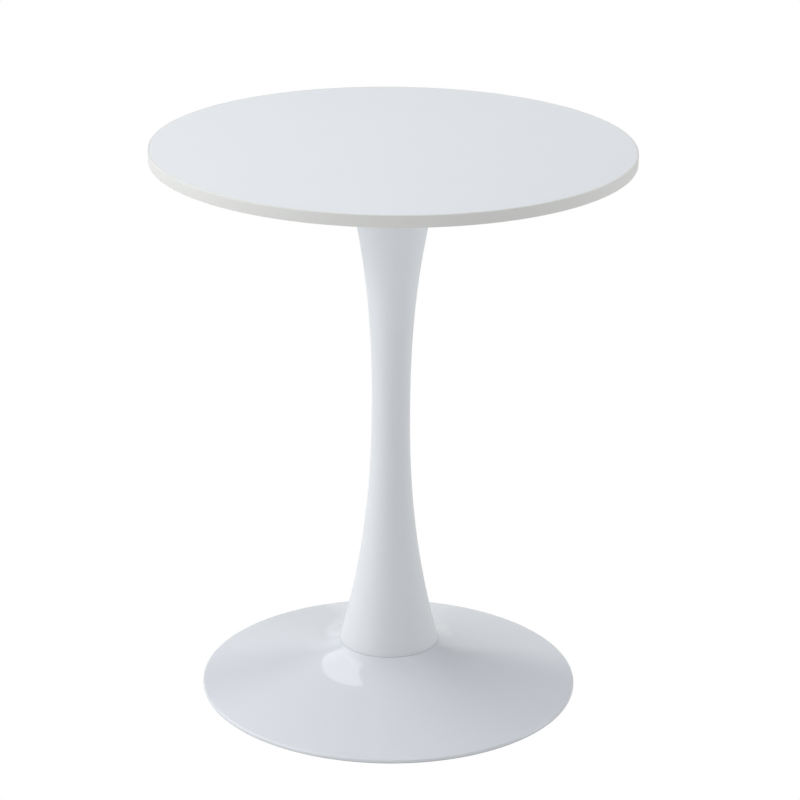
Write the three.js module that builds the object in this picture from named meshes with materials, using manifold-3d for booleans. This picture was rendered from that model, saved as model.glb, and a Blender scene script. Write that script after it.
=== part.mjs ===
// Round pedestal table: a laminated board on a trumpet column and a pressed cone base,
// all clamped together by one tie rod. Millimetres, +Z up, origin on the floor under the axis.
import * as THREE from "three";
import { mergeVertices } from "three/addons/utils/BufferGeometryUtils.js";
import Module from "manifold-3d";

const wasm = await Module();
wasm.setup();

// ---------------------------------------------------------------- driving sizes

// The whole table
const tableHeight = 720;
const topDiameter = 600;
const baseDiameter = 484;

// The board: a core between two laminates, with a band round its edge
const topThickness = 15;
const laminateThickness = 0.8;
const bandThickness = 2;
const bandRound = 1.2;

// The column: an hourglass tube of sheet steel, the same at both ends
const columnNeckRadius = 24.3;
const columnMouthRadius = 64.1;
const columnWall = 1.4;
const columnFlare = 2.25;

// The base: a low cone that flares up into a neck, pressed from one sheet
const baseSheet = 2;
const baseBend = 0.4;
const baseRimHeight = 4.6;
const coneSlope = THREE.MathUtils.degToRad(12.9);
const flareFade = 22;
const shoulderHeight = 60;
const shoulderLip = 0.6;
const spigotHeight = 8;

// The gaskets at the seam and under the rim
const seamGasketThickness = 0.8;
const seamGasketRecess = 0.2;
const rimGasketThickness = 1.2;
const rimGasketWidth = 4.6;
const rimGasketUpstand = 0.8;
const rimGasketRecess = 0.4;

// The plate under the board, and the two pieces welded to it
const plateThickness = 3;
const plateMargin = 20;
const plateChamfer = 0.5;
const boltOffset = 16;
const boltCount = 6;
const collarHeight = 8;
const collarWall = 2;
const couplingLength = 36;
const couplingFlats = 19;

// M6 screws and the threaded inserts that they go into
const screwRadius = 3;
const screwLength = 12;
const screwHeadRadius = 5.25;
const screwHeadHeight = 3.3;
const screwSocketFlats = 4;
const screwSocketDepth = 2;
const insertWall = 1.7;
const insertLength = 10;
const insertPocket = 2;

// The M12 tie rod and what is on its lower end
const rodRadius = 6;
const rodTopGap = 4;
const rodTail = 8;
const clampPlateThickness = 5;
const clampPlateMargin = 9;
const washerRadius = 18.5;
const washerThickness = 3;
const lockWasherRadius = 10.5;
const lockWasherThickness = 2.5;
const lockWasherSlit = 1.2;
const nutFlats = 19;
const nutHeight = 10.8;

// Clearances
const fitGap = 0.5;
const threadGap = 0.3;
const glueGap = 0.3;
const holeGap = 0.6;

// Smoothness of the solids
const wideSegments = 64;
const baseSegments = 56;
const columnSegments = 48;
const smallSegments = 20;
const tinySegments = 12;
const columnSteps = 14;
const baseSteps = 12;
const domeSteps = 4;
const bendSteps = 2;

// How far a cutter runs past the face that it cuts
const overshoot = 1;

// ---------------------------------------------------------------- heights and radii

const topRadius = topDiameter / 2;
const baseRadius = baseDiameter / 2;
const boardBottom = tableHeight - topThickness;
const coreBottom = boardBottom + laminateThickness;
const coreTop = tableHeight - laminateThickness;
const bandInnerRadius = topRadius - bandThickness;
const boardRadius = bandInnerRadius - glueGap;

const plateBottom = boardBottom - plateThickness;
const columnBottom = shoulderHeight + seamGasketThickness;
const columnTop = plateBottom;
const columnMiddle = (columnBottom + columnTop) / 2;
const columnHalf = (columnTop - columnBottom) / 2;

const boltRadius = columnMouthRadius + boltOffset;
const plateRadius = boltRadius + plateMargin;
const screwHoleRadius = screwRadius + threadGap;
const insertRadius = screwHoleRadius + insertWall;
const pocketRadius = insertRadius + glueGap;
const insertTop = boardBottom + insertLength;

const webTop = shoulderHeight + spigotHeight;
const webBottom = webTop - baseSheet;
const clampBottom = webBottom - clampPlateThickness;
const washerBottom = clampBottom - washerThickness;
const lockWasherBottom = washerBottom - lockWasherThickness;
const nutBottom = lockWasherBottom - nutHeight;
const rodBottom = nutBottom - rodTail;
const rodTop = plateBottom - rodTopGap;
const rodHoleRadius = rodRadius + holeGap;
const threadedHoleRadius = rodRadius + threadGap;

// Middle of each bolt, on a circle just outside the column's mouth
const boltPlaces = Array.from({ length: boltCount }, (_, i) => {
  const angle = ((i + 0.5) * 2 * Math.PI) / boltCount;
  return [boltRadius * Math.cos(angle), boltRadius * Math.sin(angle)];
});

// ---------------------------------------------------------------- shapes

// A solid of revolution about +Z from a profile of [radius, height] points. They go
// anticlockwise, and either start and end on the axis or close into a ring.
function turned(profile, segments = wideSegments) {
  const onAxis = profile[0][0] === 0;
  const closed = onAxis ? profile : [...profile, profile[0]];
  const points = closed.map(([r, z]) => new THREE.Vector2(r, z));
  return new THREE.LatheGeometry(points, segments).rotateX(Math.PI / 2);
}

// A ring of rectangular section.
function ring(inner, outer, low, high, segments) {
  return turned([[inner, low], [outer, low], [outer, high], [inner, high]], segments);
}

// A solid disc.
function disc(radius, low, high, segments) {
  return turned([[0, low], [radius, low], [radius, high], [0, high]], segments);
}

// An upright hexagonal prism, its size given across the flats.
function hexPrism(flats, low, high) {
  const reach = flats / Math.sqrt(3);
  const corners = Array.from({ length: 6 }, (_, i) => {
    const angle = (i * Math.PI) / 3;
    return new THREE.Vector2(reach * Math.cos(angle), reach * Math.sin(angle));
  });
  const options = { depth: high - low, bevelEnabled: false };
  return new THREE.ExtrudeGeometry(new THREE.Shape(corners), options).translate(0, 0, low);
}

// A line with its corners rounded: radii holds one radius per point, 0 for a sharp one.
function rounded(points, radii) {
  return points.flatMap((point, i) => {
    if (!radii[i]) return [point];
    const corner = new THREE.Vector2(...point);
    const back = new THREE.Vector2(...points[i - 1]).sub(corner).normalize();
    const on = new THREE.Vector2(...points[i + 1]).sub(corner).normalize();
    const half = Math.acos(back.dot(on)) / 2;
    const middle = back.clone().add(on).normalize();
    const centre = corner.clone().addScaledVector(middle, radii[i] / Math.sin(half));
    const start = corner.clone().addScaledVector(back, radii[i] / Math.tan(half)).sub(centre);
    const turn = Math.sign(on.cross(back)) * (Math.PI - 2 * half);
    return Array.from({ length: bendSteps + 1 }, (_, step) => {
      const spoke = start.clone().rotateAround(new THREE.Vector2(), (turn * step) / bendSteps);
      return spoke.add(centre).toArray();
    });
  });
}

// A line moved to the right of its direction, with mitred corners.
function offsetLine(points, distance) {
  const normals = points.slice(1).map(([r, z], i) => {
    const [fromR, fromZ] = points[i];
    const length = Math.hypot(r - fromR, z - fromZ);
    return [(z - fromZ) / length, (fromR - r) / length];
  });
  return points.map(([r, z], i) => {
    const before = normals[Math.max(i - 1, 0)];
    const after = normals[Math.min(i, normals.length - 1)];
    const scale = distance / (1 + before[0] * after[0] + before[1] * after[1]);
    return [r + (before[0] + after[0]) * scale, z + (before[1] + after[1]) * scale];
  });
}

// ---------------------------------------------------------------- cutting

function toSolid(geometry) {
  const bare = geometry.clone();
  bare.deleteAttribute("normal");
  bare.deleteAttribute("uv");
  const merged = mergeVertices(bare);
  return new wasm.Manifold(new wasm.Mesh({
    numProp: 3,
    vertProperties: merged.attributes.position.array,
    triVerts: new Uint32Array(merged.index.array),
  }));
}

function cut(geometry, ...cutters) {
  const whole = toSolid(geometry);
  const left = cutters.reduce((solid, cutter) => solid.subtract(toSolid(cutter)), whole);
  const mesh = left.getMesh();
  const result = new THREE.BufferGeometry();
  result.setAttribute("position", new THREE.BufferAttribute(mesh.vertProperties, 3));
  result.setIndex(new THREE.BufferAttribute(mesh.triVerts, 1));
  return result;
}

// A copy of a shape at each bolt.
function atBolts(geometry) {
  return boltPlaces.map(([x, y]) => geometry.clone().translate(x, y, 0));
}

// ---------------------------------------------------------------- finishes

const finish = (color, roughness, metalness) =>
  new THREE.MeshStandardMaterial({ color, roughness, metalness });

const whiteLaminate = finish(0xeef1f3, 0.45, 0);
const warmWhiteBand = finish(0xe4e4e0, 0.5, 0);
const fibreboard = finish(0xa98c66, 0.9, 0);
const satinWhitePaint = finish(0xe9ecef, 0.5, 0);
const glossWhitePaint = finish(0xedf0f4, 0.12, 0);
const zincPlate = finish(0xb9bdc0, 0.35, 1);
const blackOxide = finish(0x2a2a2b, 0.45, 0.8);
const clearPlastic = finish(0xd9dcdf, 0.4, 0);
const greyRubber = finish(0xc8c9ca, 0.75, 0);

const table = new THREE.Group();

function add(name, geometry, material) {
  const mesh = new THREE.Mesh(geometry, material);
  mesh.name = name;
  table.add(mesh);
}

// One node at each bolt, numbered from 1.
function addAtBolts(name, geometry, material) {
  atBolts(geometry).forEach((copy, i) => add(`${name}_${i + 1}`, copy, material));
}

// ---------------------------------------------------------------- the board

function buildBoard() {
  const pocket = disc(pocketRadius, boardBottom - overshoot, insertTop + insertPocket, tinySegments);
  const pockets = atBolts(pocket);
  const core = disc(boardRadius, coreBottom, coreTop);
  const backing = disc(boardRadius, boardBottom, coreBottom);
  const bandCorners = [
    [bandInnerRadius, boardBottom],
    [topRadius, boardBottom],
    [topRadius, tableHeight],
    [bandInnerRadius, tableHeight],
  ];
  add("tabletop_core", cut(core, ...pockets), fibreboard);
  add("tabletop_face_laminate", disc(boardRadius, coreTop, tableHeight), whiteLaminate);
  add("tabletop_backing_laminate", cut(backing, ...pockets), whiteLaminate);
  add("tabletop_edge_band", turned(rounded(bandCorners, [0, bandRound, bandRound, 0])), warmWhiteBand);
}

function buildInserts() {
  const insert = ring(screwHoleRadius, insertRadius, boardBottom, insertTop, tinySegments);
  addAtBolts("threaded_insert", insert, zincPlate);
}

// ---------------------------------------------------------------- the plate and its screws

function buildPlate() {
  const blank = turned([
    [0, plateBottom],
    [plateRadius - plateChamfer, plateBottom],
    [plateRadius, plateBottom + plateChamfer],
    [plateRadius, boardBottom - plateChamfer],
    [plateRadius - plateChamfer, boardBottom],
    [0, boardBottom],
  ]);
  const hole = disc(screwHoleRadius, plateBottom - overshoot, boardBottom + overshoot, tinySegments);
  add("mounting_plate", cut(blank, ...atBolts(hole)), satinWhitePaint);
}

// A button-head screw that goes up through the plate: its head is half an ellipsoid.
function buildScrews() {
  const headBottom = plateBottom - screwHeadHeight;
  const dome = Array.from({ length: domeSteps + 1 }, (_, i) => {
    const angle = (Math.PI / 2) * (1 - i / domeSteps);
    const radius = i === 0 ? 0 : screwHeadRadius * Math.cos(angle);
    return [radius, plateBottom - screwHeadHeight * Math.sin(angle)];
  });
  const shankTop = plateBottom + screwLength;
  const shank = [[screwRadius, plateBottom], [screwRadius, shankTop], [0, shankTop]];
  const socket = hexPrism(screwSocketFlats, headBottom - overshoot, headBottom + screwSocketDepth);
  addAtBolts("plate_screw", cut(turned([...dome, ...shank], smallSegments), socket), blackOxide);
}

// The collar follows the inside of the column's mouth.
function buildCollar() {
  const collarBottom = plateBottom - collarHeight;
  const lowRadius = columnInnerRadius(collarBottom) - fitGap;
  const highRadius = columnInnerRadius(plateBottom) - fitGap;
  add("locating_collar", turned([
    [lowRadius - collarWall, collarBottom],
    [lowRadius, collarBottom],
    [highRadius, plateBottom],
    [highRadius - collarWall, plateBottom],
  ], columnSegments), satinWhitePaint);
}

function buildCouplingNut() {
  const low = plateBottom - couplingLength;
  const bore = disc(threadedHoleRadius, low - overshoot, plateBottom + overshoot, smallSegments);
  add("coupling_nut", cut(hexPrism(couplingFlats, low, plateBottom), bore), zincPlate);
}

// ---------------------------------------------------------------- the column

// The outer radius grows from the neck as a power of the distance from mid-height.
function columnOuterRadius(z) {
  const share = Math.abs(z - columnMiddle) / columnHalf;
  return columnNeckRadius + (columnMouthRadius - columnNeckRadius) * share ** columnFlare;
}

// The wall is measured square to the surface, so a slope takes more of the radius.
function columnInnerRadius(z) {
  const share = Math.abs(z - columnMiddle) / columnHalf;
  const flare = columnMouthRadius - columnNeckRadius;
  const slope = (flare * columnFlare * share ** (columnFlare - 1)) / columnHalf;
  return columnOuterRadius(z) - columnWall * Math.hypot(1, slope);
}

function buildColumn() {
  const heights = Array.from({ length: columnSteps + 1 }, (_, i) =>
    columnBottom + ((columnTop - columnBottom) * i) / columnSteps);
  const outside = heights.map((z) => [columnOuterRadius(z), z]);
  const inside = heights.map((z) => [columnInnerRadius(z), z]).reverse();
  add("column", turned([...outside, ...inside], columnSegments), satinWhitePaint);
}

// ---------------------------------------------------------------- the base

const shoulderRadius = columnMouthRadius + shoulderLip;
const spigotFootRadius = columnInnerRadius(columnBottom) - fitGap;
const spigotTopRadius = columnInnerRadius(webTop) - fitGap;

// The top of the base: a cone of one slope, and a flare that dies away exponentially from the
// shoulder, down to 1/e of itself in each flareFade. Together they drop to the rim's height.
function baseHeight(radius) {
  const reach = baseRadius - shoulderRadius;
  const flareDrop = shoulderHeight - baseRimHeight - reach * Math.tan(coneSlope);
  const out = radius - shoulderRadius;
  const share = (1 - Math.exp(-out / flareFade)) / (1 - Math.exp(-reach / flareFade));
  return shoulderHeight - out * Math.tan(coneSlope) - flareDrop * share;
}

// Points from the shoulder to the rim, closest together where the flare curves most.
function conePoints() {
  return Array.from({ length: baseSteps + 1 }, (_, i) => {
    const radius = shoulderRadius + (baseRadius - shoulderRadius) * (i / baseSteps) ** 2;
    return [radius, baseHeight(radius)];
  });
}

// One sheet: a flat web with the rod's hole, the spigot, the shoulder, the cone and a rim
// turned down to the gasket. The underside keeps the sheet's thickness.
function buildBase() {
  const cone = conePoints();
  const outside = [
    [rodHoleRadius, webTop],
    [spigotTopRadius, webTop],
    [spigotFootRadius, shoulderHeight],
    ...cone,
    [baseRadius, rimGasketThickness],
  ];
  const bends = [0, baseBend, 0, ...cone.slice(1).map(() => 0), baseBend, 0];
  const upper = rounded(outside, bends.map((bend) => bend && bend + baseSheet));
  const lower = rounded(offsetLine(outside, baseSheet), bends);
  add("base_cone", turned([...lower, ...upper.reverse()], baseSegments), glossWhitePaint);
}

function buildGaskets() {
  add("seam_gasket", ring(
    spigotFootRadius + glueGap,
    columnMouthRadius - seamGasketRecess,
    shoulderHeight,
    columnBottom,
    columnSegments,
  ), clearPlastic);
  const outer = baseRadius - rimGasketRecess;
  const inner = outer - rimGasketWidth;
  const upstandRadius = baseRadius - baseSheet - glueGap;
  const upstandTop = rimGasketThickness + rimGasketUpstand;
  add("rim_gasket", turned([
    [inner, 0],
    [outer, 0],
    [outer, rimGasketThickness],
    [upstandRadius, rimGasketThickness],
    [upstandRadius, upstandTop],
    [inner, upstandTop],
  ], baseSegments), greyRubber);
}

// ---------------------------------------------------------------- the tie rod and its lower end

function buildTieRod() {
  const clampRadius = spigotFootRadius - baseSheet - clampPlateMargin;
  add("tie_rod", disc(rodRadius, rodBottom, rodTop, smallSegments), zincPlate);
  add("clamp_plate", ring(rodHoleRadius, clampRadius, clampBottom, webBottom, columnSegments), zincPlate);
  add("flat_washer", ring(rodHoleRadius, washerRadius, washerBottom, clampBottom, smallSegments), zincPlate);
}

// A spring washer is a ring with one slit through its side.
function buildLockWasher() {
  const spring = ring(threadedHoleRadius, lockWasherRadius, lockWasherBottom, washerBottom, smallSegments);
  const slit = new THREE.BoxGeometry(2 * lockWasherRadius, lockWasherSlit, 2 * lockWasherThickness);
  slit.translate(lockWasherRadius, 0, lockWasherBottom + lockWasherThickness / 2);
  add("lock_washer", cut(spring, slit), zincPlate);
}

function buildNut() {
  const bore = disc(threadedHoleRadius, nutBottom - overshoot, lockWasherBottom + overshoot, smallSegments);
  add("hex_nut", cut(hexPrism(nutFlats, nutBottom, lockWasherBottom), bore), zincPlate);
}

buildBoard();
buildInserts();
buildPlate();
buildScrews();
buildCollar();
buildCouplingNut();
buildColumn();
buildBase();
buildGaskets();
buildTieRod();
buildLockWasher();
buildNut();

export default table;
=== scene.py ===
"""Finished surfaces, finishes and studio for a round pedestal table.

A laminated board stands on an hourglass column and a low cone base, and one tie rod holds
them together. Every piece is a surface worked out with numpy in metres, with +Z up and the
floor at zero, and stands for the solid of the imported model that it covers.
"""
import logging
import math
from dataclasses import dataclass, field
from enum import Enum

import bmesh
import bpy
import numpy as np
from mathutils import Euler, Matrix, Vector


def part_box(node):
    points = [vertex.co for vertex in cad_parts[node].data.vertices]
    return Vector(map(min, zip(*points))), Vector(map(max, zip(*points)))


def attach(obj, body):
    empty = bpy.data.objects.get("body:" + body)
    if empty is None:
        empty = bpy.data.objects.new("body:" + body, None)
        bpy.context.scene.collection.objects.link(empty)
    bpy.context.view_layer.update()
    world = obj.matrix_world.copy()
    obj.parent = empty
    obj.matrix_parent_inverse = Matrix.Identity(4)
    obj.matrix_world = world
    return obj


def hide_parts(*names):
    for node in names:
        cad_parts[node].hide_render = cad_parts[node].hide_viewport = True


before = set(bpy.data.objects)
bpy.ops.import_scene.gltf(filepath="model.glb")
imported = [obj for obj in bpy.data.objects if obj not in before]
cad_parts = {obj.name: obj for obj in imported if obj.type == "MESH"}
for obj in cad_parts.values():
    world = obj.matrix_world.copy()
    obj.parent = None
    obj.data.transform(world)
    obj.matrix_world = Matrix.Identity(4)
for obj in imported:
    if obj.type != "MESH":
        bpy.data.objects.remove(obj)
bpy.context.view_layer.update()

MM = 0.001
BODY = "root"
SHARP_ANGLE = math.radians(32)
WELD_DECIMALS = 8

Colour = tuple[float, float, float]
Socket = bpy.types.NodeSocket
Ends = bpy.types.NodeInputs | bpy.types.NodeOutputs
Value = Socket | float | tuple[float, ...]

log = logging.getLogger("table")


# ------------------------------------------------------------------ lines and surfaces


def unit(vectors: np.ndarray) -> np.ndarray:
    """Scales each row to length one, and leaves a row of zeros as it is.

    Args:
        vectors: rows of coordinates.

    Returns:
        Rows of the same shape.
    """
    length = np.linalg.norm(vectors, axis=-1, keepdims=True)
    return vectors / np.where(length > 0, length, 1)


def thinned(line: np.ndarray) -> np.ndarray:
    """Drops each point of a line that repeats the one before it.

    Args:
        line: points in order, one per row.

    Returns:
        The points that are left.
    """
    step = np.linalg.norm(np.diff(line, axis=0), axis=1)
    return line[np.concatenate([[True], step > 1e-9])]


def rounded(corners: np.ndarray, radii: np.ndarray, steps: int = 6) -> np.ndarray:
    """Rounds the corners of a closed line with arcs that touch both sides.

    The arc's centre lies on the corner's bisector, radius / sin(half angle) away, and the
    spoke from it to the first touching point turns by what is left of half a circle.

    Args:
        corners: the closed line's points, without the first one repeated.
        radii: one radius per point, 0 for a corner that stays sharp.
        steps: pieces in each arc.

    Returns:
        The points of the rounded line, without the first one repeated.
    """
    back = unit(np.roll(corners, 1, axis=0) - corners)
    on = unit(np.roll(corners, -1, axis=0) - corners)
    half = np.arccos(np.clip(np.sum(back * on, axis=1), -1, 1)) / 2
    half = np.clip(half, 1e-4, None)
    middle = unit(back + on)
    centre = corners + middle * (radii / np.sin(half))[:, None]
    spoke = corners + back * (radii / np.tan(half))[:, None] - centre
    side = np.sign(on[:, 0] * back[:, 1] - on[:, 1] * back[:, 0])
    turn = (side * (math.pi - 2 * half))[:, None] * np.linspace(0, 1, steps + 1)
    x = spoke[:, :1] * np.cos(turn) - spoke[:, 1:] * np.sin(turn) + centre[:, :1]
    y = spoke[:, :1] * np.sin(turn) + spoke[:, 1:] * np.cos(turn) + centre[:, 1:]
    arcs = np.stack([x, y], axis=-1)
    plain = np.broadcast_to(corners[:, None, :], arcs.shape)
    return thinned(np.where((radii > 0)[:, None, None], arcs, plain).reshape(-1, 2))


def offset(line: np.ndarray, distance: float) -> np.ndarray:
    """Moves an open line to the right of its direction, with mitred corners.

    Args:
        line: points in order.
        distance: how far each stretch moves, square to itself.

    Returns:
        As many points as the line has.
    """
    along = unit(np.diff(line, axis=0))
    normal = np.stack([along[:, 1], -along[:, 0]], axis=1)
    before = np.vstack([normal[:1], normal])
    after = np.vstack([normal, normal[-1:]])
    scale = distance / (1 + np.sum(before * after, axis=1, keepdims=True))
    return line + (before + after) * scale


def hexagon(angle: np.ndarray, flats: float) -> np.ndarray:
    """Distance from the middle of a hexagon to its side in each direction.

    Args:
        angle: directions, with a corner at 0.
        flats: size across the flats.

    Returns:
        One distance per direction: half the flats over the cosine of the angle to a flat.
    """
    sixth = math.pi / 3
    return flats / 2 / np.cos(np.mod(angle, sixth) - sixth / 2)


def ridge(turns: np.ndarray) -> np.ndarray:
    """Depth of a screw thread, 0 on its crest and 1 in its root, with flats on both.

    Args:
        turns: height over pitch, less the share of a full turn.

    Returns:
        A triangle wave of one turn's period, clipped at both ends.
    """
    wave = np.abs(2 * np.mod(turns, 1) - 1)
    return np.clip((wave - 0.12) / 0.7, 0, 1)


@dataclass
class Shell:
    """Patches of surface that are welded into one closed mesh."""

    points: list[np.ndarray] = field(default_factory=list)
    quads: list[np.ndarray] = field(default_factory=list)
    count: int = 0

    def patch(self, grid: np.ndarray, around: bool = False) -> "Shell":
        """Adds a grid of points as quads between its rows and columns.

        Args:
            grid: points as rows, columns and x, y, z.
            around: joins the last column to the first.

        Returns:
            The shell itself.
        """
        rows, columns = grid.shape[:2]
        index = np.arange(rows * columns).reshape(rows, columns) + self.count
        left = index if around else index[:, :-1]
        right = np.roll(index, -1, axis=1) if around else index[:, 1:]
        quad = np.stack([left[:-1], right[:-1], right[1:], left[1:]], axis=-1)
        self.points.append(grid.reshape(-1, 3))
        self.quads.append(quad.reshape(-1, 4))
        self.count += rows * columns
        return self

    def turned(self, profile: np.ndarray, segments: int) -> "Shell":
        """Adds a closed profile of radius and height turned about +Z.

        Each point goes round as (radius cos a, radius sin a, height).

        Args:
            profile: the profile's points, without the first one repeated.
            segments: columns round the axis.

        Returns:
            The shell itself.
        """
        loop = np.vstack([profile, profile[:1]])
        angle = np.arange(segments) * (2 * math.pi / segments)
        radius = np.repeat(loop[:, :1], segments, axis=1)
        height = np.repeat(loop[:, 1:], segments, axis=1)
        return self.patch(polar(radius, angle[None, :], height), around=True)

    def mesh(self, name: str) -> bpy.types.Object:
        """Welds the patches, turns the faces outwards and makes the object.

        Args:
            name: the object's name.

        Returns:
            The object, at the origin, smooth except at its sharp edges.
        """
        every = np.vstack(self.points)
        spots, index = np.unique(np.round(every, WELD_DECIMALS), axis=0, return_inverse=True)
        quads = index.reshape(-1)[np.vstack(self.quads)]
        fresh = quads != np.roll(quads, 1, axis=1)
        sides = fresh.sum(axis=1)
        whole = quads[sides == 4].tolist()
        thirds = quads[sides == 3][fresh[sides == 3]].reshape(-1, 3).tolist()
        mesh = bpy.data.meshes.new(name)
        mesh.from_pydata(spots, [], whole + thirds)
        work = bmesh.new()
        work.from_mesh(mesh)
        bmesh.ops.recalc_face_normals(work, faces=work.faces)
        work.to_mesh(mesh)
        work.free()
        mesh.polygons.foreach_set("use_smooth", np.ones(len(mesh.polygons), dtype=bool))
        mesh.set_sharp_from_angle(angle=SHARP_ANGLE)
        mesh.update()
        piece = bpy.data.objects.new(name, mesh)
        bpy.context.scene.collection.objects.link(piece)
        return piece


def polar(radius: np.ndarray, angle: np.ndarray, height: np.ndarray) -> np.ndarray:
    """Points (radius cos a, radius sin a, height), from arrays that broadcast together.

    Args:
        radius: distance from the axis.
        angle: direction from +X.
        height: height above the floor.

    Returns:
        The points, with x, y, z as the last axis.
    """
    x, y, z = np.broadcast_arrays(radius * np.cos(angle), radius * np.sin(angle), height)
    return np.stack([x, y, z], axis=-1)


def ring_profile(inner: float, outer: float, low: float, high: float, edge: float) -> np.ndarray:
    """A rectangle with its four corners rounded, as radius and height.

    Args:
        inner: smaller radius.
        outer: larger radius.
        low: lower height.
        high: upper height.
        edge: corner radius.

    Returns:
        The closed profile.
    """
    corners = np.array([[inner, low], [outer, low], [outer, high], [inner, high]])
    return rounded(corners, np.full(4, edge), 4)


def disc_profile(radius: float, low: float, high: float, edge: float) -> np.ndarray:
    """Half the section of a disc, from the axis out and back, with its rim rounded.

    Args:
        radius: the disc's radius.
        low: lower height.
        high: upper height.
        edge: radius of the rim's two corners.

    Returns:
        The closed profile.
    """
    corners = np.array([[0, low], [radius, low], [radius, high], [0, high]], dtype=float)
    return rounded(corners, np.array([0, edge, edge, 0]), 4)


def quarter(edge: float, steps: int = 4) -> tuple[np.ndarray, np.ndarray]:
    """A quarter circle as how far it is in from the side and up from the face.

    Args:
        edge: its radius.
        steps: pieces in it.

    Returns:
        Distances in from the side and up from the face, starting on the face.
    """
    angle = np.linspace(0, math.pi / 2, steps + 1)
    return edge * (1 - np.sin(angle)), edge * (1 - np.cos(angle))


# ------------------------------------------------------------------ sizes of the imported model


@dataclass(frozen=True)
class Extent:
    """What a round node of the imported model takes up."""

    radius: float
    low: float
    high: float

    @classmethod
    def of(cls, node: str) -> "Extent":
        """Reads a node's box; the node is centred on the axis."""
        low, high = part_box(node)
        return cls((high.x - low.x) / 2, low.z, high.z)


# ------------------------------------------------------------------ shader groups


@dataclass
class Wiring:
    """Places nodes in one tree and joins them."""

    tree: bpy.types.NodeTree

    def node(self, kind: str, inputs: dict[str | int, Value] | None = None,
             **settings: str) -> bpy.types.Node:
        """Adds a node; an input takes a socket, which is joined, or a value.

        Args:
            kind: the node's type name.
            inputs: socket or value for each input, by name or index.
            **settings: the node's own settings.

        Returns:
            The node.
        """
        node = self.tree.nodes.new(kind)
        for name, value in settings.items():
            setattr(node, name, value)
        self.feed(node, inputs or {})
        return node

    def feed(self, node: bpy.types.Node, inputs: dict[str | int, Value]) -> None:
        """Joins a socket to each input of a node, or sets its value.

        Args:
            node: the node.
            inputs: socket or value for each input, by name or index.
        """
        for name, value in inputs.items():
            if isinstance(value, Socket):
                self.tree.links.new(value, node.inputs[name])
            else:
                node.inputs[name].default_value = value

    def sum(self, operation: str, first: Value, second: Value, third: Value = 0.0) -> Socket:
        """One step of arithmetic on sockets or numbers."""
        values = {0: first, 1: second, 2: third}
        return self.node("ShaderNodeMath", values, operation=operation).outputs[0]

    def noise(self, place: Socket, scale: Value, detail: float = 2.0,
              rough: float = 0.5) -> Socket:
        """Soft noise between 0 and 1 at a place, with scale in repeats per metre."""
        values = {"Vector": place, "Scale": scale, "Detail": detail, "Roughness": rough}
        return self.node("ShaderNodeTexNoise", values).outputs[0]


def group(name: str, inputs: dict[str, str],
          outputs: dict[str, str]) -> tuple[bpy.types.NodeTree, Wiring, Ends, Ends]:
    """Starts a shader group with named sockets.

    Args:
        name: the group's name.
        inputs: socket type by name.
        outputs: socket type by name.

    Returns:
        The group, its wiring, the sockets that bring its inputs and those that take its
        outputs.
    """
    tree = bpy.data.node_groups.new(name, "ShaderNodeTree")
    for side, sockets in (("INPUT", inputs), ("OUTPUT", outputs)):
        for label, kind in sockets.items():
            tree.interface.new_socket(label, in_out=side, socket_type="NodeSocket" + kind)
    wiring = Wiring(tree)
    entry = wiring.node("NodeGroupInput")
    leave = wiring.node("NodeGroupOutput")
    return tree, wiring, entry.outputs, leave.inputs


class Effect(Enum):
    """The effects that several finishes share."""

    DRIFT = "slow_drift"
    PEEL = "paint_peel"
    GRAIN = "fine_grain"
    TURNING = "turning_marks"


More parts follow.
